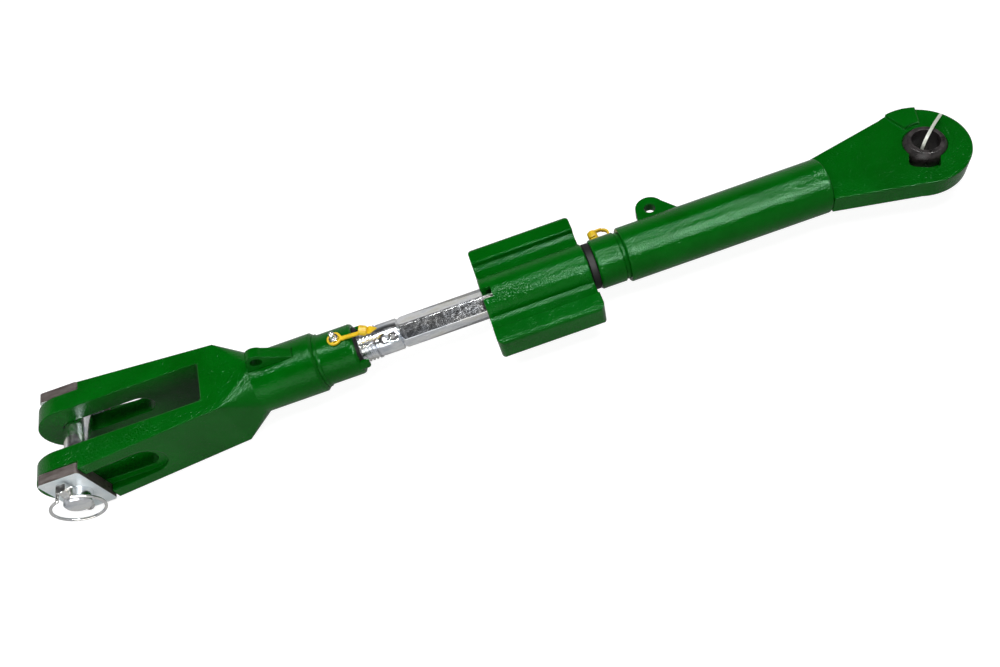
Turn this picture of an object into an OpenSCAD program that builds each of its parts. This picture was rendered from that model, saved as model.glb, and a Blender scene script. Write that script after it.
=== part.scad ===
// Adjustable lift link: forged fork, turnbuckle screw with a winged handle, and a ball eye.
// Origin at the centre of the ball. The link lies along X with the fork at -X, and the
// ball's bore stands along Z. The link is drawn at its shortest setting.

/* [Eye] */
// Distance from the ball centre to the end of the upper tube
eye_reach = 113; // [95:1:150]
// Radius of the round head of the eye
head_r = 51; // [44:0.5:60]
// How far the head's centre lies behind the ball centre
head_shift = 7; // [0:0.5:14]
// Thickness of the flat blade and head
head_t = 21; // [18:0.5:28]
// Half width of the blade where it leaves the upper tube
blade_root = 29; // [24:0.5:29.5]
// Height of the raised pad beside the ball seat
pad_h = 3.5; // [1:0.5:8]
// Outer radius of the upper tube
tube_r = 29.5; // [28:0.5:36]
// Length of the upper tube
tube_len = 220; // [200:1:320]
// Length of the eye's round stem inside the upper tube
stem_len = 60; // [30:1:64]

/* [Ball] */
// Radius of the spherical ball
ball_r = 24; // [21:0.5:27]
// Width of the ball along its bore
ball_w = 31; // [26:0.5:36]
// Diameter of the hole through the ball
ball_bore = 28.3; // [20:0.1:30]
// Clearance between the ball and its seat
seat_gap = 0.3; // [0.1:0.05:0.5]
// Width of the slot that the ball is loaded through
load_w = 30; // [20:0.5:36]
// Reach of the loading slot from the ball centre
load_reach = 33; // [28:0.5:37]
// Direction of the loading slot around the bore
load_dir = 240; // [180:1:360]

/* [Threaded bushes] */
// Outer radius of the lower threaded bush
bush_r = 27.6; // [26.5:0.1:28.5]
// Outer radius of the upper threaded bush
upper_bush_r = 26.8; // [26:0.1:28]
// Length of the upper bush that stands out of the tube
upper_bush_out = 32; // [24:1:50]
// Width of the groove at the root of the upper bush
bush_groove = 5; // [2:0.5:8]
// Length of the upper bush inside the tube
upper_spigot = 12; // [6:1:30]
// Length of the lower bush that stands out of the fork's neck
lower_bush_out = 42; // [38:1:60]
// Length of the lower bush inside the neck
lower_spigot = 10; // [6:1:20]
// Radius of both spigots
spigot_r = 24; // [22.5:0.1:25]
// Length of the two locking lugs on the lower bush
lug_out = 8.5; // [3:0.5:9]
// Half angle that each locking lug covers
lug_half = 11; // [8:1:22]
// Turn of the two locking lugs about the link's axis
lug_turn = -9; // [-30:1:30]

/* [Screw] */
// Major diameter of the thread at both ends
thread_d = 36; // [32:0.5:36]
// Pitch of the thread at both ends
pitch = 4; // [3:0.5:6]
// Number of turns from the shortest to the longest setting
turns = 18; // [4:1:18]
// Exposed length of the lower thread at the shortest setting
thread_out = 23; // [14:1:60]
// Length of the plain part between the lower thread and the hexagon
plain_len = 24; // [16:1:50]
// Diameter of that plain part
plain_d = 34; // [28:0.5:35]
// Size of the hexagon across its flats
hex_af = 30; // [26:0.5:31]
// Diameter that the hexagon's corners are turned down to
hex_corner_d = 33.4; // [30:0.1:35]
// Length of hexagon to be seen between the plain part and the handle
hex_out = 94; // [90:0.5:180]
// Turn of the hexagon about the link's axis
hex_turn = 8; // [0:1:30]
// Outer diameter of the roll pin in the plain part
roll_pin_d = 8; // [5:0.5:10]

/* [Handle] */
// Length of the winged handle
handle_len = 114; // [90:1:140]
// Radius of the handle's round hub
hub_r = 27; // [25.5:0.5:34]
// Half span over both wings
wing_span = 63.5; // [54:0.5:80]
// Half thickness of the thin web of a wing
web_t = 7; // [5:0.5:10]
// Half thickness of the thick rim of a wing
rim_t = 15.5; // [12:0.5:18]
// Width of the thick rim
rim_w = 20; // [12:0.5:22]
// Depth of the two slots that drop over the locking lugs
dog_depth = 11; // [9.5:0.5:16]
// Turn of those slots about the link's axis
dog_turn = 13; // [-30:1:30]
// Length of the round counterbore that passes over the thread
handle_bore_len = 46; // [46:1:56]

/* [Stop ring] */
// Outer radius of the stop ring
ring_r = 25; // [23:0.5:27]
// Width of the stop ring
ring_w = 8; // [4:0.5:10]

/* [Fork] */
// Length of the round neck
neck_len = 69; // [62:1:110]
// Radius of the round neck
neck_r = 32.2; // [31:0.1:38]
// Length of the change from the square root to the round neck
loft_len = 32; // [20:1:50]
// Length of the solid root in front of the gap
root_len = 18; // [16:1:40]
// Depth of the gap from its closed end to the clevis pin
gap_depth = 155; // [130:1:200]
// Width of the gap between the arms
gap_w = 46; // [38:0.5:54]
// Half height of the arms
arm_h = 38; // [32:0.5:44]
// Half width over the arms at the shoulder of the plate seats
arm_tip_y = 52.5; // [48:0.5:58]
// Half width over the arms at the root
arm_root_y = 39.5; // [36:0.5:44]
// Travel of the clevis pin in the float slots
float_len = 72; // [50:1:90]
// Clearance round the clevis pin in the float slots
float_gap = 0.3; // [0.1:0.05:0.6]
// Half height of the guide pocket round each float slot
pocket_h = 23.5; // [20:0.5:28]

/* [Clevis pin] */
// Diameter of the clevis pin
pin_d = 28; // [20:0.5:30]
// Thickness of the plates on the pin
plate_t = 12; // [8:0.5:16]
// Length of a plate along the link
plate_l = 43.5; // [34:0.5:46]
// Half height of a plate
plate_h = 36; // [30:0.5:40]
// Depth of the plate seats' floor from the middle of the fork
seat_y = 43; // [38:0.5:46]
// Length of the pin's free end outside the keeper plate
pin_out = 15; // [14:0.5:26]

/* [Linch pin] */
// Diameter of the linch pin
linch_d = 9.5; // [6:0.5:11]
// Distance of the linch pin from the end of the clevis pin
linch_back = 8; // [7:0.5:10]
// Width of the linch pin's head
linch_head = 11; // [10.5:0.5:13]
// Height of the linch pin's head above the clevis pin
linch_top = 16; // [14:1:24]
// Radius of the spring ring
bail_r = 25.4; // [22:0.2:30]
// Wire diameter of the spring ring
wire_d = 3.2; // [2:0.2:4]

/* [Chain lugs] */
// Diameter of the hole in a chain lug
chain_d = 12; // [6:0.5:13]
// Thickness of the upper chain lug
upper_lug_t = 11; // [6:0.5:14]
// Thickness of the lower chain lug
lower_lug_t = 12; // [6:0.5:14]
// Radius of the upper lug round its hole
upper_lug_r = 15.5; // [12:0.5:18]
// Radius of the lower lug round its hole
lower_lug_r = 10.5; // [9:0.5:14]
// Distance of the upper hole from the link's axis
upper_lug_y = 43; // [42:0.5:60]
// Distance of the lower hole from the link's axis
lower_lug_z = 43; // [42:0.5:56]

/* [Grease nipples] */
// Width of a nipple's hexagon across its flats
nipple_af = 9; // [7:0.5:10]
// Height of a nipple above the bush
nipple_h = 13; // [10:0.5:16]
// Outer radius of a dust cap
cap_r = 5.2; // [4.6:0.1:6.5]

/* [Hidden] */

green = [0.02, 0.36, 0.06];
zinc = [0.78, 0.8, 0.82];
dark = [0.1, 0.09, 0.09];
yellow = [0.98, 0.82, 0.1];

$fn = 96;
eps = 0.01;
fit = 0.05;          // radial clearance of a shaft, and of a piece pressed in its seat
face_gap = 0.3;      // clearance between end faces of pieces that move
thread_r = thread_d / 2;

// Places along the link, from the ball towards the fork
travel = turns * pitch;
x_blade = -eye_reach;
x_tube = x_blade - tube_len;
x_bush = x_tube - upper_bush_out;
x_ring = x_bush - face_gap - ring_w;
x_handle = x_ring - face_gap - handle_len;
x_hex = x_handle - hex_out;
x_plain = x_hex - plain_len;
x_neck_end = x_plain - thread_out;
x_step = x_neck_end - lower_bush_out;
x_neck = x_step - neck_len;
x_root = x_neck - loft_len;
x_gap = x_root - root_len;
x_pin = x_gap - gap_depth;

clip_w = 3;
clip_r = spigot_r - 2.5;
stem_r = spigot_r - 1.5;
clip_bore_r = stem_r;
end_land = 4;
x_low_clip = x_step - lower_spigot - travel - face_gap - clip_w;
x_low_end = x_low_clip - end_land;
x_up_clip = x_tube + upper_spigot + travel + face_gap;
x_up_end = x_up_clip + clip_w + end_land;

x_shoulder = x_pin + plate_l / 2 + 1.25;
x_roll_pin = x_hex - 7;
x_up_nipple = x_bush + 11;
x_low_nipple = x_neck_end - 17;
x_up_lug = x_tube + 46.5;
x_low_lug = x_step - 55;
y_pin_end = -(seat_y + plate_t + pin_out);
y_linch = y_pin_end + linch_back;
y_bail = y_pin_end - wire_d / 2 - 0.8;
z_head = pin_d / 2 + face_gap;
z_hinge = z_head + 0.6 * linch_top;
arm_slope = (arm_tip_y - arm_root_y) / (x_root - x_shoulder);

// A solid of revolution about the link's axis from pairs of place and radius
module turned(points) rotate([0, 90, 0]) rotate([0, 0, 90]) rotate_extrude()
  polygon([for (p = points) [p[1], p[0]]]);

// A round bar along X
module bar_x(r, x0, x1) translate([x0, 0, 0]) rotate([0, 90, 0]) cylinder(r = r, h = x1 - x0);

// A round bar along Y
module bar_y(r, y0, y1) translate([0, y0, 0]) rotate([-90, 0, 0]) cylinder(r = r, h = y1 - y0);

// A rectangle with round corners
module round_rect(l, w, r) {
  square([l, w - 2 * r], center = true);
  square([l - 2 * r, w], center = true);
  for (sx = [-1, 1], sy = [-1, 1]) translate([sx * (l / 2 - r), sy * (w / 2 - r)]) circle(r);
}

// An outline with round ends between two places on the X axis
module stadium(x0, x1, r) {
  translate([x0, 0]) circle(r);
  translate([x1, 0]) circle(r);
  translate([x0, -r]) square([x1 - x0, 2 * r]);
}

// Unit vector at an angle
function edge(a) = [cos(a), sin(a)];

// Where a line from a point touches a circle, on the side given by turn
function touch(p, c, r, turn) =
  let (d = p - c, s = r - 0.6, a = atan2(d[1], d[0]) + turn * acos(s / norm(d)))
  c + s * edge(a);

// Flat outline of the blade and the round head
module eye_outline() {
  c = [-head_shift, 0];
  p = [x_blade, blade_root];
  t = touch(p, c, head_r, -1);
  translate(c) circle(head_r);
  polygon([p, t, [t[0], -t[1]], [p[0], -p[1]]]);
}

module eye_forging() color(green) difference() {
  union() {
    linear_extrude(head_t, center = true) eye_outline();
    // Round stem that fills the end of the upper tube
    turned([[x_blade - stem_len, 0], [x_blade - stem_len, stem_r - 2],
            [x_blade - stem_len + 2, stem_r], [x_blade + 1, stem_r], [x_blade + 1, 0]]);
    // Raised pad on the far side of the ball seat
    translate([0, 0, head_t / 2 - eps]) linear_extrude(pad_h + eps) intersection() {
      eye_outline();
      polygon([[0, 0], [-0.34, 1] * 2 * head_r, [0.3, 1] * 2 * head_r]);
      difference() {
        square(4 * head_r, center = true);
        circle(ball_r + 2.5);
      }
    }
  }
  sphere(ball_r + seat_gap);
  // The loading slot opens the seat to the upper face
  rotate([0, 0, load_dir]) linear_extrude(head_t)
    translate([load_reach / 2, 0]) round_rect(load_reach, load_w, 6);
}

module upper_tube() color(green) difference() {
  turned([[x_tube, 0], [x_tube, tube_r - 1], [x_tube + 1, tube_r],
          [x_blade - 1.5 - eps, tube_r], [x_blade - eps, tube_r - 1.5], [x_blade - eps, 0]]);
  bar_x(stem_r + fit, x_tube - 1, x_blade + 1);
  bar_x(spigot_r + fit, x_tube - 1, x_tube + upper_spigot + fit);
}

module upper_bush() color(green) difference() {
  turned([[x_bush, 0], [x_bush, upper_bush_r - 1.5], [x_bush + 1.5, upper_bush_r],
          [x_tube - bush_groove, upper_bush_r], [x_tube - bush_groove + 1, upper_bush_r - 1.6],
          [x_tube - eps, upper_bush_r - 1.6], [x_tube - eps, spigot_r],
          [x_tube + upper_spigot, spigot_r], [x_tube + upper_spigot, 0]]);
  bar_x(thread_r + fit, x_bush - 1, x_tube + upper_spigot + 1);
  translate([x_up_nipple, 0, 0]) bar_y(3 + fit, 0, upper_bush_r + 1);
}

// Chain lug on a round bar: steep at one end and lower at the other, its hole along Z
module lug(base_y, hole_y, r, tail, t) difference() {
  c = [0, hole_y];
  steep = [-r - 3, base_y];
  low = [r + tail, base_y];
  union() {
    translate(c) cylinder(r = r, h = t, center = true);
    linear_extrude(t, center = true) polygon([[steep[0], base_y - 8], steep, touch(steep, c, r, -1), c,
      touch(low, c, r, 1), low, [low[0], base_y - 8]]);
  }
  translate(c) cylinder(d = chain_d, h = 2 * t, center = true);
}

module upper_chain_lug() color(green) difference() {
  translate([x_up_lug, 0, 0]) lug(tube_r - 1, upper_lug_y, upper_lug_r, 15, upper_lug_t);
  bar_x(tube_r + eps, x_tube, x_blade);
}

module lower_chain_lug() color(green) difference() {
  translate([x_low_lug, 0, 0]) rotate([90, 0, 0])
    lug(neck_r - 1, lower_lug_z, lower_lug_r, 26, lower_lug_t);
  bar_x(neck_r + eps, x_neck - 1, x_step);
}

// Grease nipple standing along Z on a surface at z = 0
module nipple() {
  translate([0, 0, -7]) cylinder(r = 3, h = 7);
  translate([0, 0, 0.2]) cylinder(d = nipple_af / cos(30), h = 4.5, $fn = 6);
  translate([0, 0, -eps]) cylinder(r = 3.8, h = 0.3);
  rotate_extrude() polygon([[0, 4.6], [3.4, 4.6], [2.3, 6], [2.3, nipple_h - 5.4],
    [3.25, nipple_h - 4.2], [3.25, nipple_h - 2], [2.2, nipple_h - 0.4], [1, nipple_h],
    [0, nipple_h - 0.4]]);
}

// Hollow cap that fits over a nipple's head, closed end upwards
module cap_cup() rotate_extrude() polygon([[0, 0], [cap_r - 1, 0], [cap_r, -1],
  [cap_r, -7.5], [cap_r - 0.5, -8.5], [3.6, -8.5], [3.6, -1.6], [0, -1.6]]);

// Eye of the cap's strap round the foot of the nipple
module strap_eye() difference() {
  cylinder(r = nipple_af / 2 + 3, h = 2.2);
  translate([0, 0, -1]) cylinder(r = nipple_af / 2 + 1, h = 4);
}

module upper_nipple() color(zinc) translate([x_up_nipple, upper_bush_r, 0]) rotate([-90, 0, 0]) nipple();

module upper_cap() color(yellow) translate([x_up_nipple, upper_bush_r, 0]) rotate([-90, 0, 0]) {
  cup_top = nipple_h + 2;
  bend_r = cup_top / 2 - 1.4;
  translate([0, 0, cup_top]) cap_cup();
  translate([0, 0, 0.7]) strap_eye();
  // The strap leaves the eye, bends back and ends on top of the cup
  for (z = [0.7, cup_top - 1.2]) translate([nipple_af / 2 + 1.5, -2, z]) cube([5.2, 4, 2]);
  translate([0, -2, cup_top - 1.2]) cube([nipple_af / 2 + 2, 4, 2]);
  translate([nipple_af / 2 + 6.4, 0, bend_r + 1.7]) rotate([90, 0, 0]) rotate([0, 0, -90])
    rotate_extrude(angle = 180) translate([bend_r - 1.4, -2]) square([2, 4]);
}

module lower_nipple() color(zinc) translate([x_low_nipple, 0, bush_r]) nipple();

// The strap stands up and to the near side, so that the handle's hub passes under the open cap
module lower_cap() color(yellow) translate([x_low_nipple, 0, bush_r + 0.8]) rotate([0, 0, -16]) {
  strap_eye();
  foot = nipple_af / 2 + 2;
  translate([foot, -2.3, 0]) cube([4, 4.6, 2]);
  translate([foot + 3, -2, 0.4]) rotate([0, -17, 0]) {
    cube([26, 4, 1.8]);
    translate([30, 2, 1]) rotate([0, 128, 0]) cap_cup();
    // Pointed tab to pull the cap by
    translate([30, 2, 0.1]) linear_extrude(1.6) polygon([[-6, -3], [4, -4.4], [12.5, 0], [4, 4.4], [-6, 3]]);
  }
}

module ball() color(dark) difference() {
  intersection() {
    sphere(ball_r);
    cube([60, 60, ball_w], center = true);
  }
  translate([0, 0, -ball_w]) cylinder(d = ball_bore, h = 2 * ball_w);
}

module stop_ring() color(dark) difference() {
  turned([[x_ring, 0], [x_ring, ring_r - 1], [x_ring + 1, ring_r],
          [x_ring + ring_w - 1, ring_r], [x_ring + ring_w, ring_r - 1], [x_ring + ring_w, 0]]);
  bar_x(thread_r + fit, x_ring - 1, x_ring + ring_w + 1);
}

module screw() color(zinc) difference() {
  union() {
    turned([[x_low_end, 0], [x_low_end, thread_r - 3], [x_low_end + 3, thread_r],
            [x_plain - 1.5, thread_r], [x_plain, plain_d / 2 - 0.6], [x_plain + 2, plain_d / 2],
            [x_hex - 1, plain_d / 2], [x_hex, plain_d / 2 - 1], [x_hex, 0]]);
    // The hexagon's corners are turned down and run out on cones at both ends
    intersection() {
      translate([x_hex - 1, 0, 0]) rotate([0, 90, 0]) rotate([0, 0, hex_turn])
        cylinder(d = hex_af / cos(30), h = x_ring - x_hex + 2, $fn = 6);
      turned([[x_hex - 1, 0], [x_hex - 1, plain_d / 2 - 3], [x_hex + 4, hex_corner_d / 2],
              [x_ring + 1, hex_corner_d / 2], [x_ring + 1, 0]]);
    }
    turned([[x_ring, 0], [x_ring, thread_r - 1], [x_ring + 1, thread_r],
            [x_up_end - 3, thread_r], [x_up_end, thread_r - 3], [x_up_end, 0]]);
  }
  for (x = [x_low_clip, x_up_clip]) difference() {
    bar_x(thread_r + 1, x - fit, x + clip_w + fit);
    bar_x(thread_r - 2, x - 1, x + clip_w + 1);
  }
  translate([x_roll_pin, 0, 0]) rotate([37, 0, 0]) cylinder(d = roll_pin_d + 2 * fit, h = 60, center = true);
}

// Slotted spring pin across the plain part of the screw
module roll_pin() color(zinc) translate([x_roll_pin, 0, 0]) rotate([37, 0, 0]) difference() {
  cylinder(d = roll_pin_d, h = plain_d + 0.6, center = true);
  cylinder(d = roll_pin_d - 3.4, h = plain_d + 4, center = true);
  translate([0, -0.6, -plain_d]) cube([roll_pin_d, 1.2, 2 * plain_d]);
}

// Open snap ring in the groove near one end of the screw
module stop_clip(x) color(zinc) difference() {
  bar_x(clip_r, x, x + clip_w);
  bar_x(thread_r - 2 + fit, x - 1, x + clip_w + 1);
  translate([x - 1, -2.5, 0]) cube([clip_w + 2, 5, 2 * clip_r]);
}

module upper_stop_clip() stop_clip(x_up_clip);
module lower_stop_clip() stop_clip(x_low_clip);

// Cross-section of one wing, from the hub outwards
module wing_section() {
  rim_in = wing_span - rim_w;
  step = (rim_t - web_t) / 3;
  upper = [[hub_r - 8, web_t + 4], [hub_r - 1, web_t + 1], [hub_r + 3, web_t], [rim_in - 5, web_t],
           [rim_in - 1, web_t + step], [rim_in, rim_t - 0.8], [rim_in + 1, rim_t],
           [wing_span - 4, rim_t], [wing_span - 1.2, rim_t - 1.2], [wing_span, rim_t - 4]];
  // The lower side mirrors the upper one
  polygon(concat(upper, [for (i = [len(upper) - 1:-1:0]) [upper[i][0], -upper[i][1]]]));
}

module handle() color(green) difference() {
  union() {
    turned([[x_handle, 0], [x_handle, hub_r - 1.5], [x_handle + 1.5, hub_r],
            [x_handle + handle_len - 1.5, hub_r], [x_handle + handle_len, hub_r - 1.5],
            [x_handle + handle_len, 0]]);
    // Both wings, with round corners in plan
    intersection() {
      for (s = [0, 180]) rotate([s, 0, 0]) translate([x_handle, 0, 0])
        rotate([90, 0, 90]) linear_extrude(handle_len) wing_section();
      translate([x_handle + handle_len / 2, 0, 0]) linear_extrude(4 * rim_t, center = true)
        round_rect(handle_len, 2 * wing_span, 7);
    }
  }
  // Hexagonal bore, and the wide bore that passes over the thread
  translate([x_handle, 0, 0]) rotate([0, 90, 0]) rotate([0, 0, hex_turn])
    cylinder(d = (hex_af + 2 * fit) / cos(30), h = handle_len + 1, $fn = 6);
  bar_x(thread_r + 0.6, x_handle - 1, x_handle + handle_bore_len);
  // Slots for the locking lugs
  dog_w = 2 * bush_r * sin(lug_half) + 1.5;
  rotate([dog_turn, 0, 0]) translate([x_handle - 1, -dog_w / 2, -hub_r - 1])
    cube([dog_depth + 1, dog_w, 2 * hub_r + 2]);
}

// Outline of the fork in plan, without its neck
module fork_plan() polygon([
  [x_pin - arm_h, -seat_y], [x_shoulder, -seat_y], [x_shoulder, -arm_tip_y], [x_root, -arm_root_y],
  [x_root, arm_root_y], [x_shoulder, arm_tip_y], [x_shoulder, seat_y], [x_pin - arm_h, seat_y]]);

module fork() color(green) difference() {
  union() {
    intersection() {
      linear_extrude(4 * arm_h, center = true) fork_plan();
      rotate([90, 0, 0]) linear_extrude(4 * arm_tip_y, center = true) {
        translate([x_pin, 0]) circle(arm_h);
        translate([x_pin, -arm_h]) square([x_root - x_pin, 2 * arm_h]);
      }
    }
    // The square root runs into the round neck
    hull() {
      translate([x_root - 0.5, -arm_root_y, -arm_h]) cube([0.5, 2 * arm_root_y, 2 * arm_h]);
      bar_x(neck_r, x_neck - 1, x_neck, $fn = 48);
    }
    turned([[x_neck - 2, 0], [x_neck - 2, neck_r], [x_step - 3, neck_r], [x_step, neck_r - 2.6],
            [x_step, 0]]);
  }
  // Gap between the arms, with round corners at its closed end
  translate([x_gap - gap_depth - arm_h, 0, -2 * arm_h]) linear_extrude(4 * arm_h)
    translate([(gap_depth + arm_h) / 2, 0]) round_rect(gap_depth + arm_h, gap_w, 3);
  translate([x_pin - 2 * arm_h, -gap_w / 2, -2 * arm_h]) cube([2 * arm_h, gap_w, 4 * arm_h]);
  // Float slots, and the guide pockets round them
  rotate([90, 0, 0]) linear_extrude(4 * arm_tip_y, center = true)
    stadium(x_pin, x_pin + float_len, pin_d / 2 + float_gap);
  for (s = [0, 180]) rotate([s, 0, 0]) translate([0, seat_y + arm_tip_y, 0]) rotate([90, 0, 0])
    linear_extrude(arm_tip_y) stadium(x_shoulder - pocket_h, x_pin + float_len, pocket_h);
  // Bores for the threaded bush and for the end of the screw
  bar_x(spigot_r + fit, x_step - lower_spigot - fit, x_step + 1);
  bar_x(clip_bore_r, x_low_end - 4, x_step);
}

module lower_bush() color(green) difference() {
  union() {
    turned([[x_step - lower_spigot, 0], [x_step - lower_spigot, spigot_r], [x_step + eps, spigot_r],
            [x_step + eps, bush_r + 1.4], [x_step + 2.5, bush_r + 1.4], [x_step + 4, bush_r],
            [x_neck_end - 3, bush_r], [x_neck_end - 1, bush_r - 0.9], [x_neck_end, bush_r - 2.6],
            [x_neck_end, 0]]);
    // Two locking lugs stand on the end face
    intersection() {
      turned([[x_neck_end - 5, 0], [x_neck_end - 5, bush_r - 0.4], [x_neck_end + lug_out - 2, bush_r - 0.4],
              [x_neck_end + lug_out, bush_r - 2.2], [x_neck_end + lug_out, 0]]);
      for (s = [0, 180]) rotate([s + lug_turn, 0, 0]) translate([x_neck_end - 4.5, 0, 0])
        rotate([90, 0, 90]) linear_extrude(lug_out + 6)
          polygon([edge(-lug_half) * thread_r, edge(-lug_half) * 2 * bush_r,
                   edge(lug_half) * 2 * bush_r, edge(lug_half) * thread_r]);
    }
  }
  bar_x(thread_r + fit, x_step - lower_spigot - 1, x_neck_end + lug_out + 1);
  // Recess for the seal, and the mouth inside the lugs
  bar_x(thread_r + 4.8, x_neck_end - 4, x_neck_end + lug_out + 1);
  translate([x_low_nipple, 0, 0]) cylinder(r = 3 + fit, h = 2 * bush_r);
}

module lower_seal() color(dark) difference() {
  turned([[x_neck_end - 4 + eps, 0], [x_neck_end - 4 + eps, thread_r + 4.7],
          [x_neck_end + 1.5, thread_r + 4.7], [x_neck_end + 3, thread_r + 2.5], [x_neck_end + 3, 0]]);
  bar_x(thread_r + face_gap, x_neck_end - 6, x_neck_end + 5);
}

module clevis_pin() color(zinc) translate([x_pin, 0, 0]) difference() {
  rotate([-90, 0, 0]) rotate_extrude() polygon([[0, y_pin_end], [pin_d / 2 - 2, y_pin_end],
    [pin_d / 2, y_pin_end + 2], [pin_d / 2, seat_y + plate_t], [0, seat_y + plate_t]]);
  translate([0, y_linch, 0]) cylinder(d = linch_d + 2 * fit, h = 2 * pin_d, center = true);
}

// Rectangular plate with a hole for the clevis pin, its inner face at y0
module plate(y0) translate([x_pin, y0, 0]) rotate([-90, 0, 0]) linear_extrude(plate_t) difference() {
  round_rect(plate_l, 2 * plate_h, 4);
  circle(pin_d / 2 + fit);
}

module pin_plate() color(zinc) plate(seat_y + eps);
module keeper_plate() color(zinc) plate(-seat_y - plate_t - eps);

module linch_pin() color(zinc) translate([x_pin, y_linch, 0]) difference() {
  union() {
    z_tip = -pin_d / 2 - 10;
    rotate_extrude() polygon([[0, z_tip], [linch_d / 2 - 2, z_tip], [linch_d / 2, z_tip + 3],
      [linch_d / 2, z_head + 3], [0, z_head + 3]]);
    // Head in two steps: a broad collar and a narrower block
    translate([0, 0, z_head]) linear_extrude(5) round_rect(linch_head + 1, linch_head - 0.4, 3);
    translate([0, 0, z_head + 2]) linear_extrude(linch_top - 2)
      round_rect(linch_head - 1, linch_head - 1, 2);
  }
  translate([0, 0, z_hinge]) rotate([0, 90, 0]) cylinder(d = wire_d + 2 * fit, h = 40, center = true);
}

// Spring ring: an open loop in front of the clevis pin, with both ends bent into the head
module linch_ring() color(zinc) {
  x_arm = linch_head / 2 + wire_d / 2 + face_gap;
  open_a = asin(x_arm / bail_r);
  z_arm = bail_r * cos(open_a);
  drop = z_arm - z_hinge;
  translate([x_pin, 0, -drop]) {
    translate([0, y_bail, 0]) rotate([90, 0, 0]) rotate([0, 0, 90 + open_a])
      rotate_extrude(angle = 360 - 2 * open_a) translate([bail_r, 0]) circle(d = wire_d);
    for (s = [-1, 1]) translate([s * x_arm, 0, z_arm]) {
      bar_y(wire_d / 2, y_bail, y_linch);
      for (y = [y_bail, y_linch]) translate([0, y, 0]) sphere(d = wire_d + 0.3);
      translate([0, y_linch, 0]) rotate([0, -90 * s, 0]) cylinder(d = wire_d, h = x_arm - 2);
    }
  }
}

eye_forging();
upper_tube();
upper_bush();
upper_chain_lug();
upper_nipple();
upper_cap();
ball();
stop_ring();
screw();
roll_pin();
upper_stop_clip();
lower_stop_clip();
handle();
fork();
lower_bush();
lower_seal();
lower_chain_lug();
lower_nipple();
lower_cap();
clevis_pin();
pin_plate();
keeper_plate();
linch_pin();
linch_ring();
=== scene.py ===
import math
import bpy
import bmesh
from mathutils import Matrix, Vector


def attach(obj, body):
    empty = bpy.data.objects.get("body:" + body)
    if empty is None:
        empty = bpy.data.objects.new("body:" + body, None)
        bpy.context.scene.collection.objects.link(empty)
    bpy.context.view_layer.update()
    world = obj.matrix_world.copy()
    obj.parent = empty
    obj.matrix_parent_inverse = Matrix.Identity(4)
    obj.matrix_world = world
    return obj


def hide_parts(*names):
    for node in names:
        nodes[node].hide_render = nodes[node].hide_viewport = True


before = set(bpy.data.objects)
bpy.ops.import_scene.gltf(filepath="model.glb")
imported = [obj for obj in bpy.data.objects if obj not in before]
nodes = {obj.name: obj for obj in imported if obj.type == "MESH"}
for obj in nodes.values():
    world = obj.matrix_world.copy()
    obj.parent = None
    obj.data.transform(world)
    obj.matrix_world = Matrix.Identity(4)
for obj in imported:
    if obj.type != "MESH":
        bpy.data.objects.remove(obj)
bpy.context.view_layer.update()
print("frame loaded:", len(nodes), "CAD nodes")

# the camera stands where the photographer stood: high, in front, a little to the fork's side of the eye
cameraView = {
    "place": (-0.47440454, -0.51942915, 0.73266305),
    "right": (0.94365811, -0.27224959, -0.18812107),
    "up": (0.33078684, 0.79227718, 0.51271526),
    "lens": 30.595,
    "sensor": 36,
}
camData = bpy.data.cameras.new("photoCamera")
camData.lens = cameraView["lens"]
camData.sensor_width = cameraView["sensor"]
camera = bpy.data.objects.new("photoCamera", camData)
rightAxis = Vector(cameraView["right"])
upAxis = Vector(cameraView["up"])
axes = Matrix((rightAxis, upAxis, rightAxis.cross(upAxis))).transposed()
camera.matrix_world = Matrix.Translation(cameraView["place"]) @ axes.to_4x4()
bpy.context.scene.collection.objects.link(camera)
bpy.context.scene.camera = camera
bpy.context.scene.view_settings.view_transform = "Standard"
print("camera placed")

# small helpers for the materials

def newMaterial(name, sockets):
    # sockets holds what is the same all over the surface
    mat = bpy.data.materials.new(name)
    mat.use_nodes = True
    tree = mat.node_tree
    shader = tree.nodes["Principled BSDF"]
    for socket, value in sockets.items():
        shader.inputs[socket].default_value = value
    return mat, tree, shader

def addNode(tree, kind, **values):
    made = tree.nodes.new(kind)
    for key, value in values.items():
        setattr(made, key, value)
    return made

def objectNoise(tree, scale, detail=4.0, rough=0.55, stretch=(1, 1, 1)):
    # scale is in lumps a metre
    coord = addNode(tree, "ShaderNodeTexCoord")
    mapping = addNode(tree, "ShaderNodeMapping")
    mapping.inputs["Scale"].default_value = stretch
    noise = addNode(tree, "ShaderNodeTexNoise")
    noise.inputs["Scale"].default_value = scale
    noise.inputs["Detail"].default_value = detail
    noise.inputs["Roughness"].default_value = rough
    tree.links.new(coord.outputs["Object"], mapping.inputs["Vector"])
    tree.links.new(mapping.outputs["Vector"], noise.inputs["Vector"])
    return noise.outputs["Fac"]

def ramp(tree, source, stops):
    # each stop is a place from 0 to 1 with its grey or its colour
    band = addNode(tree, "ShaderNodeValToRGB")
    while len(band.color_ramp.elements) < len(stops):
        band.color_ramp.elements.new(0.5)
    for element, (place, colour) in zip(band.color_ramp.elements, stops):
        element.position = place
        element.color = (*colour, 1) if isinstance(colour, tuple) else (colour, colour, colour, 1)
    tree.links.new(source, band.inputs["Fac"])
    return band.outputs["Color"]

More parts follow.
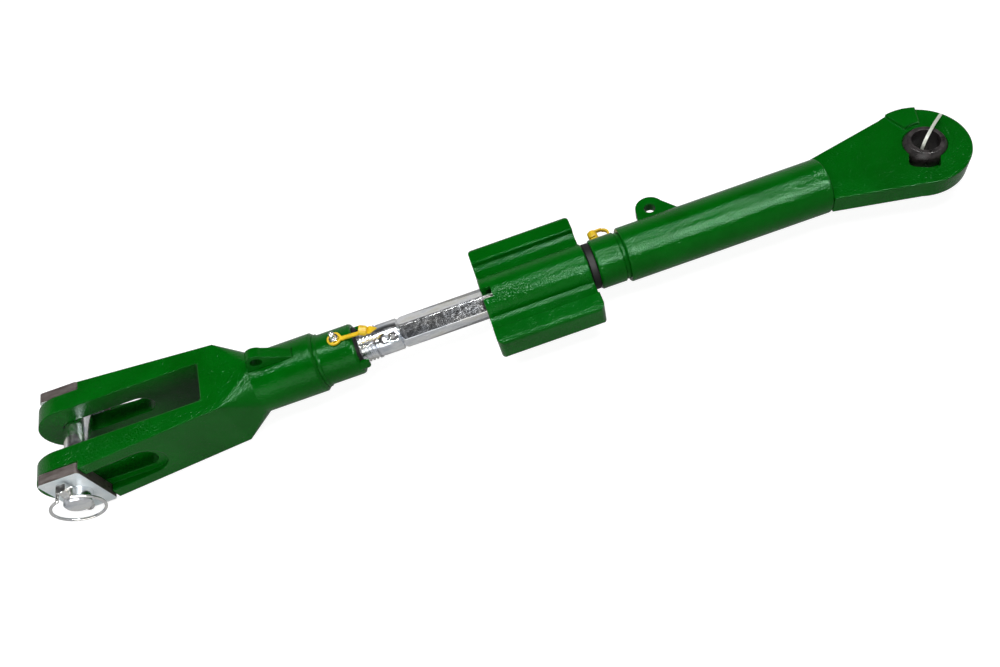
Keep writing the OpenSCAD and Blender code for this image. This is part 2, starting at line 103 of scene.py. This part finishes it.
def bumpFrom(tree, shader, layers, edge=0.0):
    # edge rounds the corners in the light, and each layer is a pattern with its strength and depth
    last = None
    if edge > 0:
        rounded = addNode(tree, "ShaderNodeBevel", samples=6)
        rounded.inputs["Radius"].default_value = edge
        last = rounded.outputs["Normal"]
    for source, (strength, depth) in layers:
        bump = addNode(tree, "ShaderNodeBump")
        bump.inputs["Strength"].default_value = strength
        bump.inputs["Distance"].default_value = depth
        tree.links.new(source, bump.inputs["Height"])
        if last is not None:
            tree.links.new(last, bump.inputs["Normal"])
        last = bump.outputs["Normal"]
    tree.links.new(last, shader.inputs["Normal"])

def greenPaint():
    # thick glossy enamel over a forged skin: it sparkles wherever the skin is uneven
    paint = {
        "cloud": 24, "colours": [(0.3, (0.0, 0.094, 0.002)), (0.7, (0.0003, 0.124, 0.004))],
        "sheen": 110, "gloss": [(0.3, 0.06), (0.7, 0.13)],
        "swell": 60, "swellBump": (0.22, 0.0014),
        "grain": 620, "grainBump": (0.8, 0.0006), "edge": 0.0022,
        "sockets": {"Specular IOR Level": 0.17, "Specular Tint": (0.5, 1, 0.62, 1)},
    }
    mat, tree, shader = newMaterial("greenPaint", paint["sockets"])
    cloud = objectNoise(tree, paint["cloud"], 5)
    sheen = objectNoise(tree, paint["sheen"], 3)
    swell = objectNoise(tree, paint["swell"], 2)
    grain = objectNoise(tree, paint["grain"], 1, 0.4)
    tree.links.new(ramp(tree, cloud, paint["colours"]), shader.inputs["Base Color"])
    tree.links.new(ramp(tree, sheen, paint["gloss"]), shader.inputs["Roughness"])
    bumpFrom(tree, shader, [(swell, paint["swellBump"]), (grain, paint["grainBump"])], paint["edge"])
    return mat

def turnedZinc():
    # blue-white zinc plate over turned and drawn steel, clouded by handling
    turned = {
        "cloud": 55, "cloudStretch": (0.5, 1, 1),
        "colours": [(0.3, (0.56, 0.6, 0.66)), (0.5, (0.88, 0.89, 0.9)), (0.68, (0.76, 0.74, 0.64))],
        "wear": 260, "gloss": [(0.3, 0.1), (0.72, 0.24)],
        "marks": 2600, "marksStretch": (1, 0.06, 0.06), "marksBump": (0.2, 0.0001),
        "pits": 700, "pitsBump": (0.16, 0.0002), "edge": 0.0006,
        "sockets": {"Metallic": 1.0},
    }
    mat, tree, shader = newMaterial("turnedZinc", turned["sockets"])
    cloud = objectNoise(tree, turned["cloud"], 6, 0.6, turned["cloudStretch"])
    wear = objectNoise(tree, turned["wear"], 5, 0.6)
    marks = objectNoise(tree, turned["marks"], 2, 0.5, turned["marksStretch"])
    pits = objectNoise(tree, turned["pits"], 3)
    tree.links.new(ramp(tree, cloud, turned["colours"]), shader.inputs["Base Color"])
    tree.links.new(ramp(tree, wear, turned["gloss"]), shader.inputs["Roughness"])
    bumpFrom(tree, shader, [(marks, turned["marksBump"]), (pits, turned["pitsBump"])], turned["edge"])
    return mat

def brightZinc():
    # smooth bright plate of the small bent and pressed pieces
    small = {
        "cloud": 90,
        "colours": [(0.3, (0.62, 0.64, 0.66)), (0.6, (0.86, 0.85, 0.82)), (0.8, (0.9, 0.86, 0.76))],
        "wear": 420, "gloss": [(0.3, 0.1), (0.7, 0.22)], "wearBump": (0.12, 0.0002), "edge": 0.0005,
        "sockets": {"Metallic": 1.0},
    }
    mat, tree, shader = newMaterial("brightZinc", small["sockets"])
    cloud = objectNoise(tree, small["cloud"], 5)
    wear = objectNoise(tree, small["wear"], 3)
    tree.links.new(ramp(tree, cloud, small["colours"]), shader.inputs["Base Color"])
    tree.links.new(ramp(tree, wear, small["gloss"]), shader.inputs["Roughness"])
    bumpFrom(tree, shader, [(wear, small["wearBump"])], small["edge"])
    return mat

def shearedPlate():
    # bright zinc on the two broad faces, bare grey-brown steel round the cut edges
    plate = {
        "cloud": 34, "faceColours": [(0.34, (0.66, 0.76, 0.8)), (0.62, (0.9, 0.95, 0.96))],
        "streak": 150, "streakStretch": (0.4, 1.6, 1),
        "edgeColours": [(0.35, (0.085, 0.066, 0.06)), (0.7, (0.17, 0.145, 0.135))],
        "faceTurn": [(0.55, 0.0), (0.75, 1.0)],    # how far a face looks along Y to count as broad
        "gloss": [(0.3, 0.26), (0.7, 0.42)], "streakBump": (0.3, 0.0003), "edge": 0.0007,
        "sockets": {"Metallic": 0.35},
    }
    mat, tree, shader = newMaterial("shearedPlate", plate["sockets"])
    coord = addNode(tree, "ShaderNodeTexCoord")
    parts = addNode(tree, "ShaderNodeSeparateXYZ")
    tree.links.new(coord.outputs["Normal"], parts.inputs["Vector"])
    side = addNode(tree, "ShaderNodeMath", operation="ABSOLUTE")
    tree.links.new(parts.outputs["Y"], side.inputs[0])
    cloud = objectNoise(tree, plate["cloud"], 5)
    streak = objectNoise(tree, plate["streak"], 5, 0.6, plate["streakStretch"])
    mix = addNode(tree, "ShaderNodeMix", data_type="RGBA")
    tree.links.new(ramp(tree, side.outputs["Value"], plate["faceTurn"]), mix.inputs["Factor"])
    tree.links.new(ramp(tree, streak, plate["edgeColours"]), mix.inputs["A"])
    tree.links.new(ramp(tree, cloud, plate["faceColours"]), mix.inputs["B"])
    tree.links.new(mix.outputs["Result"], shader.inputs["Base Color"])
    tree.links.new(ramp(tree, streak, plate["gloss"]), shader.inputs["Roughness"])
    bumpFrom(tree, shader, [(streak, plate["streakBump"])], plate["edge"])
    return mat

def oiledBlack():
    # brown-black oxide, wet with oil
    oxide = {
        "cloud": 150, "colours": [(0.32, (0.009, 0.0075, 0.0075)), (0.7, (0.036, 0.028, 0.028))],
        "gloss": [(0.3, 0.24), (0.7, 0.42)], "cloudBump": (0.22, 0.0003), "edge": 0.0008,
        "sockets": {"Metallic": 0.25},
    }
    mat, tree, shader = newMaterial("oiledBlack", oxide["sockets"])
    cloud = objectNoise(tree, oxide["cloud"], 5)
    tree.links.new(ramp(tree, cloud, oxide["colours"]), shader.inputs["Base Color"])
    tree.links.new(ramp(tree, cloud, oxide["gloss"]), shader.inputs["Roughness"])
    bumpFrom(tree, shader, [(cloud, oxide["cloudBump"])], oxide["edge"])
    return mat

def mouldedSkin(name, look):
    # a moulded surface has one gloss all over, and a fine cloud in its colour and its bump
    mat, tree, shader = newMaterial(name, look["sockets"])
    cloud = objectNoise(tree, look["cloud"], look["detail"])
    tree.links.new(ramp(tree, cloud, look["colours"]), shader.inputs["Base Color"])
    bumpFrom(tree, shader, [(cloud, look["cloudBump"])], look["edge"])
    return mat

blackRubber = {
    "cloud": 320, "detail": 4, "colours": [(0.3, 0.003), (0.7, 0.01)],
    "cloudBump": (0.2, 0.0002), "edge": 0.0005,
    "sockets": {"Roughness": 0.55, "Specular IOR Level": 0.2},
}
yellowPlastic = {
    "cloud": 230, "detail": 3, "colours": [(0.3, (0.84, 0.52, 0.004)), (0.7, (0.92, 0.64, 0.01))],
    "cloudBump": (0.15, 0.0002), "edge": 0.0005,
    "sockets": {"Roughness": 0.34, "Subsurface Weight": 0.12, "Subsurface Radius": (0.003, 0.0018, 0.0003)},
}
whiteNylon = {
    "cloud": 180, "detail": 3, "colours": [(0.3, (0.6, 0.64, 0.54)), (0.7, (0.78, 0.8, 0.72))],
    "cloudBump": (0.1, 0.0001), "edge": 0.0,
    "sockets": {"Roughness": 0.35, "Subsurface Weight": 0.15, "Subsurface Radius": (0.0015, 0.0015, 0.0012)},
}

green = greenPaint()
zinc = turnedZinc()
bright = brightZinc()
plateSkin = shearedPlate()
black = oiledBlack()
rubber = mouldedSkin("blackRubber", blackRubber)
yellow = mouldedSkin("yellowPlastic", yellowPlastic)
nylon = mouldedSkin("whiteNylon", whiteNylon)

# what isn't named here is painted green
nodeFinish = {
    "screw": zinc, "clevis_pin": zinc, "roll_pin": bright, "upper_nipple": bright, "lower_nipple": bright,
    "linch_pin": bright, "linch_ring": bright, "pin_plate": plateSkin, "keeper_plate": plateSkin,
    "ball": black, "upper_stop_clip": black, "lower_stop_clip": black, "stop_ring": rubber,
    "lower_seal": rubber, "upper_cap": yellow, "lower_cap": yellow,
}
for name, obj in nodes.items():
    obj.data.materials.clear()
    obj.data.materials.append(nodeFinish.get(name, green))
print("materials on the CAD nodes")

# small helpers for the new pieces

def finishPiece(name, bm, mat, body):
    bmesh.ops.recalc_face_normals(bm, faces=bm.faces)
    mesh = bpy.data.meshes.new(name)
    bm.to_mesh(mesh)
    bm.free()
    mesh.materials.append(mat)
    obj = bpy.data.objects.new(name, mesh)
    bpy.context.scene.collection.objects.link(obj)
    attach(obj, body)
    return obj

def allOf(bm):
    return bm.verts[:] + bm.edges[:] + bm.faces[:]

def cutAcross(bm, x, keepAbove):
    # cuts the piece square to X, keeps one side and closes the cut
    cut = bmesh.ops.bisect_plane(bm, geom=allOf(bm), dist=1e-7, plane_co=(x, 0, 0), plane_no=(1, 0, 0),
                                 clear_outer=not keepAbove, clear_inner=keepAbove)
    rim = [part for part in cut["geom_cut"] if isinstance(part, bmesh.types.BMEdge)]
    bmesh.ops.holes_fill(bm, edges=rim, sides=0)

def addCopy(bm, other):
    # puts another bmesh's solid beside what bm already holds
    mesh = bpy.data.meshes.new("part")
    other.to_mesh(mesh)
    other.free()
    bm.from_mesh(mesh)
    bpy.data.meshes.remove(mesh)

# the screw: the solid's middle and ends, with real threads between them
screwLook = {
    "pitch": 0.004, "crest": 0.01796, "root": 0.0158, "flank": 0.00125, "flat": 0.0005, "steps": 44,
    "lowThread": (-0.7523, -0.607), "upThread": (-0.3722, -0.2493),    # right-hand and left-hand, along X
    "outline": (("flat", "root"), ("flank", "crest"), ("flat", "crest"), ("flank", "root"), ("flat", "root")),
    "weldThread": 1e-4, "weldSolid": 1e-6,
}

def cutThread(start, end, hand):
    # one turn of the thread is wound round X, doubled until it is long enough, and cut to length
    look = screwLook
    bm = bmesh.new()
    x = 0.0
    outline = [bm.verts.new((x, 0, look["root"]))]
    for step, radius in look["outline"]:
        x += look[step]
        outline.append(bm.verts.new((x, 0, look[radius])))
    edges = [bm.edges.new(pair) for pair in zip(outline, outline[1:])]
    bmesh.ops.spin(bm, geom=outline + edges, cent=(0, 0, 0), axis=(1, 0, 0), angle=hand * math.tau,
                   dvec=(look["pitch"] / look["steps"], 0, 0), steps=look["steps"])
    length = look["pitch"]
    while length < end - start + 2 * look["pitch"]:
        again = bmesh.ops.duplicate(bm, geom=allOf(bm))["geom"]
        moved = [part for part in again if isinstance(part, bmesh.types.BMVert)]
        bmesh.ops.translate(bm, verts=moved, vec=(length, 0, 0))
        length *= 2
    bmesh.ops.remove_doubles(bm, verts=bm.verts, dist=look["weldThread"])
    bmesh.ops.translate(bm, verts=bm.verts, vec=(start - look["pitch"], 0, 0))
    cutAcross(bm, start, True)
    cutAcross(bm, end, False)
    return bm

def threadedScrew():
    look = screwLook
    bm = bmesh.new()
    lowStart, lowEnd = look["lowThread"]
    upStart, upEnd = look["upThread"]
    for left, right in ((None, lowStart), (lowEnd, upStart), (upEnd, None)):
        part = bmesh.new()
        part.from_mesh(nodes["screw"].data)
        bmesh.ops.remove_doubles(part, verts=part.verts, dist=look["weldSolid"])
        if left is not None:
            cutAcross(part, left, True)
        if right is not None:
            cutAcross(part, right, False)
        addCopy(bm, part)
    addCopy(bm, cutThread(lowStart, lowEnd, 1))
    addCopy(bm, cutThread(upStart, upEnd, -1))
    obj = finishPiece("threadedScrew", bm, zinc, "screw_body")
    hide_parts("screw")

threadedScrew()
print("threads cut on the screw")

# the white tie: from the bore over the head's rim and back below it
tieLook = {
    "turn": 40, "width": 3.1, "thick": 1.2, "cuts": 3, "rounding": 3,    # degrees and mm
    # the upper half of its way, as distances out from the bore's axis and up from the head's middle
    "route": [(46.4, 0), (46.4, 8.6), (45, 11.6), (40, 13), (29, 17), (18, 20.6), (6, 20.8), (-2, 19.6),
              (-6.6, 14), (-8.2, 7), (-8.6, 0)],
    "lock": {"size": (6.2, 5.2, 4.6), "place": (25, 0, -19.3)},
    "tail": {"size": (11, 2.8, 1.1), "place": (17, 0, -21.8)},
    "lean": 14, "cornerPart": 0.22, "mm": 0.001,
}

def tieBlock(block):
    # the lock and the tail are small blocks with rounded edges
    look = tieLook
    size = [side * look["mm"] for side in block["size"]]
    bm = bmesh.new()
    bmesh.ops.create_cube(bm, size=1)
    bmesh.ops.scale(bm, verts=bm.verts, vec=size)
    bmesh.ops.bevel(bm, geom=bm.edges[:], offset=min(size) * look["cornerPart"], segments=2, profile=0.5,
                    affect="EDGES", material=-1)
    bmesh.ops.rotate(bm, verts=bm.verts, matrix=Matrix.Rotation(math.radians(look["lean"]), 3, "Y"))
    bmesh.ops.translate(bm, verts=bm.verts, vec=Vector(block["place"]) * look["mm"])
    return bm

def nylonTie():
    look = tieLook
    width = look["width"] * look["mm"]
    upper = [(out * look["mm"], up * look["mm"]) for out, up in look["route"]]
    route = upper + [(out, -up) for out, up in upper[-2:0:-1]]
    bm = bmesh.new()
    verts = [bm.verts.new((out, -width / 2, up)) for out, up in route]
    edges = [bm.edges.new(pair) for pair in zip(verts, verts[1:] + verts[:1])]
    bmesh.ops.subdivide_edges(bm, edges=edges, cuts=look["cuts"])
    for _ in range(look["rounding"]):
        bmesh.ops.smooth_vert(bm, verts=bm.verts, factor=0.5, use_axis_x=True, use_axis_z=True)
    side = bmesh.ops.extrude_edge_only(bm, edges=bm.edges[:])["geom"]
    moved = [part for part in side if isinstance(part, bmesh.types.BMVert)]
    bmesh.ops.translate(bm, verts=moved, vec=(0, width, 0))
    bmesh.ops.recalc_face_normals(bm, faces=bm.faces)
    bmesh.ops.solidify(bm, geom=bm.faces[:], thickness=look["thick"] * look["mm"])
    addCopy(bm, tieBlock(look["lock"]))
    addCopy(bm, tieBlock(look["tail"]))
    bmesh.ops.rotate(bm, verts=bm.verts, matrix=Matrix.Rotation(math.radians(look["turn"]), 3, "Z"))
    finishPiece("nylonTie", bm, nylon, "upper_link")

nylonTie()
print("tie looped through the ball")

# floor and light: what the camera sees is white, what the metal mirrors is dimmer
floorLook = {"place": (-0.4, 0, -0.0405), "span": 12, "white": 0.34, "seen": 0.9, "mirrored": 0.16}
skyLook = {"horizon": (0.0, 0.62), "low": (0.25, 0.62), "shoulder": (0.45, 0.18), "overhead": (0.65, 0.03)}
lampLook = {
    # the broad lamps light the object, and the narrow ones are only seen in its gloss
    "topBox": {"place": (-0.5, 0.1, 1.4), "aim": (-0.5, 0, 0), "size": (1.8, 0.9), "power": 20,
               "glossy": False},
    "fillBox": {"place": (-1.2, -1.6, 0.6), "aim": (-0.7, 0, 0), "size": (1.6, 0.9), "power": 10},
    "keyGleam": {"place": (0.2, -0.69, 1.13), "aim": (0.2, 0, 0), "size": (1.0, 0.09), "power": 40,
                 "diffuse": False},
    "edgeGleam": {"place": (-0.5, 0.16, 1.23), "aim": (-0.5, 0, 0), "size": (2.4, 0.04), "power": 36,
                  "diffuse": False},
}

def seenRays(tree, kinds):
    # 1 for the named kinds of ray, 0 for the rest
    path = addNode(tree, "ShaderNodeLightPath")
    last = path.outputs[kinds[0]]
    for kind in kinds[1:]:
        either = addNode(tree, "ShaderNodeMath", operation="MAXIMUM")
        tree.links.new(last, either.inputs[0])
        tree.links.new(path.outputs[kind], either.inputs[1])
        last = either.outputs["Value"]
    return last

def stageFloor():
    bm = bmesh.new()
    bmesh.ops.create_grid(bm, x_segments=1, y_segments=1, size=floorLook["span"])
    bmesh.ops.translate(bm, verts=bm.verts, vec=floorLook["place"])
    mesh = bpy.data.meshes.new("studioFloor")
    bm.to_mesh(mesh)
    bm.free()
    obj = bpy.data.objects.new("studioFloor", mesh)
    bpy.context.scene.collection.objects.link(obj)
    white = floorLook["white"]
    mat, tree, shader = newMaterial("floorWhite", {
        "Base Color": (white, white, white, 1), "Roughness": 0.9, "Specular IOR Level": 0.0,
        "Emission Color": (1, 1, 1, 1),
    })
    glow = addNode(tree, "ShaderNodeMath", operation="MULTIPLY")
    glow.inputs[1].default_value = floorLook["mirrored"]
    tree.links.new(seenRays(tree, ("Is Glossy Ray", "Is Transmission Ray")), glow.inputs[0])
    sight = addNode(tree, "ShaderNodeMath", operation="MULTIPLY_ADD")
    sight.inputs[1].default_value = floorLook["seen"]
    tree.links.new(seenRays(tree, ("Is Camera Ray",)), sight.inputs[0])
    tree.links.new(glow.outputs["Value"], sight.inputs[2])
    tree.links.new(sight.outputs["Value"], shader.inputs["Emission Strength"])
    mesh.materials.append(mat)

def studioWorld():
    # white round the horizon and dim overhead, as a room round a lit table
    world = bpy.data.worlds.new("studioWorld")
    bpy.context.scene.world = world
    world.use_nodes = True
    tree = world.node_tree
    background = tree.nodes["Background"]
    coord = addNode(tree, "ShaderNodeTexCoord")
    parts = addNode(tree, "ShaderNodeSeparateXYZ")
    tree.links.new(coord.outputs["Generated"], parts.inputs["Vector"])
    sky = ramp(tree, parts.outputs["Z"], list(skyLook.values()))
    mix = addNode(tree, "ShaderNodeMix", data_type="RGBA")
    mix.inputs["B"].default_value = (1, 1, 1, 1)
    tree.links.new(seenRays(tree, ("Is Camera Ray",)), mix.inputs["Factor"])
    tree.links.new(sky, mix.inputs["A"])
    tree.links.new(mix.outputs["Result"], background.inputs["Color"])
    background.inputs["Strength"].default_value = 1.0

def softbox(name, look):
    light = bpy.data.lights.new(name, "AREA")
    light.shape = "RECTANGLE"
    light.size, light.size_y = look["size"]
    light.energy = look["power"]
    obj = bpy.data.objects.new(name, light)
    reach = Vector(look["aim"]) - Vector(look["place"])
    obj.matrix_world = Matrix.Translation(look["place"]) @ reach.to_track_quat("-Z", "Y").to_matrix().to_4x4()
    obj.visible_camera = False
    obj.visible_diffuse = look.get("diffuse", True)
    obj.visible_glossy = look.get("glossy", True)
    bpy.context.scene.collection.objects.link(obj)

stageFloor()
studioWorld()
for name, look in lampLook.items():
    softbox(name, look)
print("floor and light")
